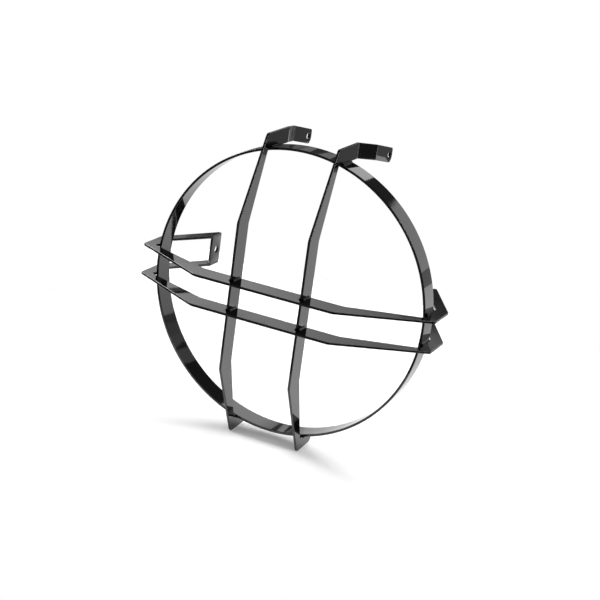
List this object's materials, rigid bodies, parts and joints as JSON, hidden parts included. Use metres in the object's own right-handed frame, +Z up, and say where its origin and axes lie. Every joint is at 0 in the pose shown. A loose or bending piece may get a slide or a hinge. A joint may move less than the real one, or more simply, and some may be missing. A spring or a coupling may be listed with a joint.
{
  "type": "motorcycle headlight guard",
  "caption": "Welded steel stone guard for a round motorcycle headlight: a rolled hoop crossed by bowed flat bars, with side brackets and joggled top lugs for bolting on.",
  "frame": {"origin": "centre of the hoop, in the plane of its front edge", "axes": "+Z up, -Y forward, the way the headlight shines, +X to the viewer's right when the guard is seen from the front; the hoop's axis lies along Y"},
  "size_m": [0.25, 0.1345, 0.2449],
  "materials": {
    "coated_steel": "gloss",
    "coated_weld": "gloss"
  },
  "bodies": {
    "root": {"hoop": "coated_steel", "left_upright": "coated_steel", "right_upright": "coated_steel", "upper_crossbar": "coated_steel", "lower_crossbar": "coated_steel", "left_foot": "coated_steel", "right_foot": "coated_steel", "crossing_welds": "coated_weld", "hoop_welds": "coated_weld", "foot_welds": "coated_weld"}
  },
  "joints": []
}
